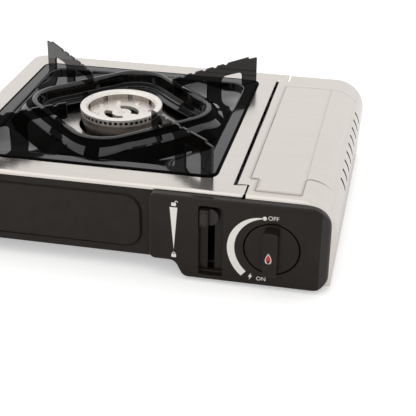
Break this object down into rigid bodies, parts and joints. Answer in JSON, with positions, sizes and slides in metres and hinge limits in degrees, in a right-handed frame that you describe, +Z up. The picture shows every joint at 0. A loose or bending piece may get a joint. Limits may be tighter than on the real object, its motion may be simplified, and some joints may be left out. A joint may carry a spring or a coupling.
{
  "type": "camping stove",
  "caption": "Portable flat gas stove: burner with a lift-out drip pan and pan supports, hinged cartridge lid, control knob and sliding cartridge lock.",
  "frame": {"origin": "middle of the overall box, on the table under the feet", "axes": "+X to the right as seen by the cook, +Y to the rear, +Z up"},
  "size_m": [0.336, 0.284, 0.1055],
  "materials": {
    "stainless": "polished stainless steel",
    "black_paint": "satin black paint",
    "black_enamel": "glossy black enamel",
    "cast_aluminium": "bead-blasted casting",
    "zinc_casting": "plain die casting",
    "zinc_steel": "zinc-plated steel",
    "brass": "turned brass",
    "gloss_black": "glossy moulded plastic",
    "satin_black": "satin moulded plastic",
    "rubber": "moulded rubber",
    "ceramic": "glazed ceramic"
  },
  "bodies": {
    "case": {"top_plate": "stainless", "burner_case": "black_paint", "burner_head": "cast_aluminium", "burner_base": "cast_aluminium", "regulator_body": "zinc_casting", "regulator_cap": "zinc_casting", "bay_trough": "zinc_steel", "bay_front_wall": "zinc_steel", "bay_rear_wall": "zinc_steel", "hinge_rod": "zinc_steel", "mixing_tube": "zinc_steel", "burner_bracket": "zinc_steel", "electrode_clip": "zinc_steel", "spark_pin": "zinc_steel", "guide_studs": "zinc_steel", "foot_screws": "zinc_steel", "panel_screws": "zinc_steel", "regulator_screws": "zinc_steel", "burner_screws": "zinc_steel", "gas_jet": "brass", "jet_holder": "brass", "gas_pipe": "brass", "control_panel": "gloss_black", "piezo_igniter": "satin_black", "cartridge_seal": "rubber", "ignition_lead": "rubber", "foot_front_left": "rubber", "foot_rear_left": "rubber", "foot_front_right": "rubber", "foot_rear_right": "rubber", "electrode_insulator": "ceramic"},
    "lid": {"lid": "stainless"},
    "knob": {"control_knob": "gloss_black", "valve_stem": "brass"},
    "lever": {"lock_lever": "satin_black", "lever_pin": "zinc_steel"},
    "carriage": {"cartridge_carriage": "zinc_steel"},
    "pan": {"drip_pan": "black_enamel", "pan_fin_front_right": "black_enamel", "pan_fin_rear_right": "black_enamel", "pan_fin_rear_left": "black_enamel", "pan_fin_front_left": "black_enamel"}
  },
  "joints": [
    {"name": "lid_hinge", "type": "hinge", "parent": "case", "child": "lid", "pos_m": [0.0895, 0, 0.0748], "axis": [0, -1, 0], "range_deg": [0, 110]},
    {"name": "knob_turn", "type": "hinge", "parent": "case", "child": "knob", "pos_m": [0.119, -0.128, 0.037], "axis": [0, -1, 0], "range_deg": [0, 130]},
    {"name": "lever_slide", "type": "slide", "parent": "case", "child": "lever", "axis": [0, 0, -1], "range_m": [0, 0.04]},
    {"name": "carriage_slide", "type": "slide", "parent": "case", "child": "carriage", "axis": [0, -1, 0], "range_m": [0, 0.008]},
    {"name": "pan_lift", "type": "slide", "parent": "case", "child": "pan", "axis": [0, 0, 1], "range_m": [0, 0.025]}
  ],
  "couplings": [
    {"joint": "carriage_slide", "follows": "lever_slide", "ratio": 0.2}
  ]
}
